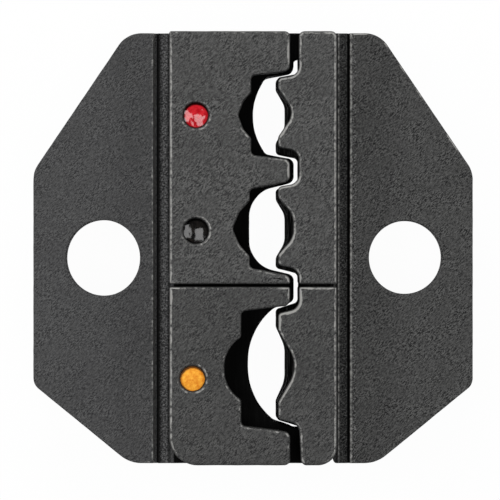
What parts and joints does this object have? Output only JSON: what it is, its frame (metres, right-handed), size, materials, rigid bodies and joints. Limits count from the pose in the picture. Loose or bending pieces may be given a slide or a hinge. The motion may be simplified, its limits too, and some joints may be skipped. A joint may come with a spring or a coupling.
{
  "type": "crimping die set",
  "caption": "Interchangeable two-half crimping die set for insulated terminals, with graded nests facing paired teeth and a mounting flap with a bore on each half.",
  "frame": {"origin": "middle of the set's footprint at its rear faces, on which it rests", "axes": "+X the closing direction, from the nest half to the indenter half; +Y up the row of stations; +Z out of the front faces, towards the viewer"},
  "size_m": [0.0374, 0.0368, 0.013],
  "materials": {
    "carrier_steel": "fine blasted and phosphated tool steel, dark grey, matt",
    "block_steel": "fine blasted and phosphated tool steel, dark grey, matt, edges rubbed bright",
    "pin_steel": "hardened ground steel, oiled dark",
    "red_enamel": "glossy red enamel drop",
    "black_enamel": "glossy black enamel drop",
    "yellow_enamel": "satin orange yellow enamel drop"
  },
  "bodies": {
    "nest_half": {"nest_carrier": "carrier_steel", "nest_front_upper": "block_steel", "nest_front_lower": "block_steel", "nest_rear_upper": "block_steel", "nest_rear_lower": "block_steel", "nest_upper_pin_1": "pin_steel", "nest_upper_pin_2": "pin_steel", "nest_lower_pin_1": "pin_steel", "nest_lower_pin_2": "pin_steel", "mark_red": "red_enamel", "mark_black": "black_enamel", "mark_yellow": "yellow_enamel"},
    "indenter_half": {"indenter_carrier": "carrier_steel", "indenter_front_upper": "block_steel", "indenter_front_lower": "block_steel", "indenter_rear_upper": "block_steel", "indenter_rear_lower": "block_steel", "indenter_upper_pin_1": "pin_steel", "indenter_upper_pin_2": "pin_steel", "indenter_lower_pin_1": "pin_steel", "indenter_lower_pin_2": "pin_steel"}
  },
  "joints": [
    {"name": "die_travel", "type": "slide", "parent": "nest_half", "child": "indenter_half", "axis": [1, 0, 0], "range_m": [-0.0003, 0.009]}
  ]
}
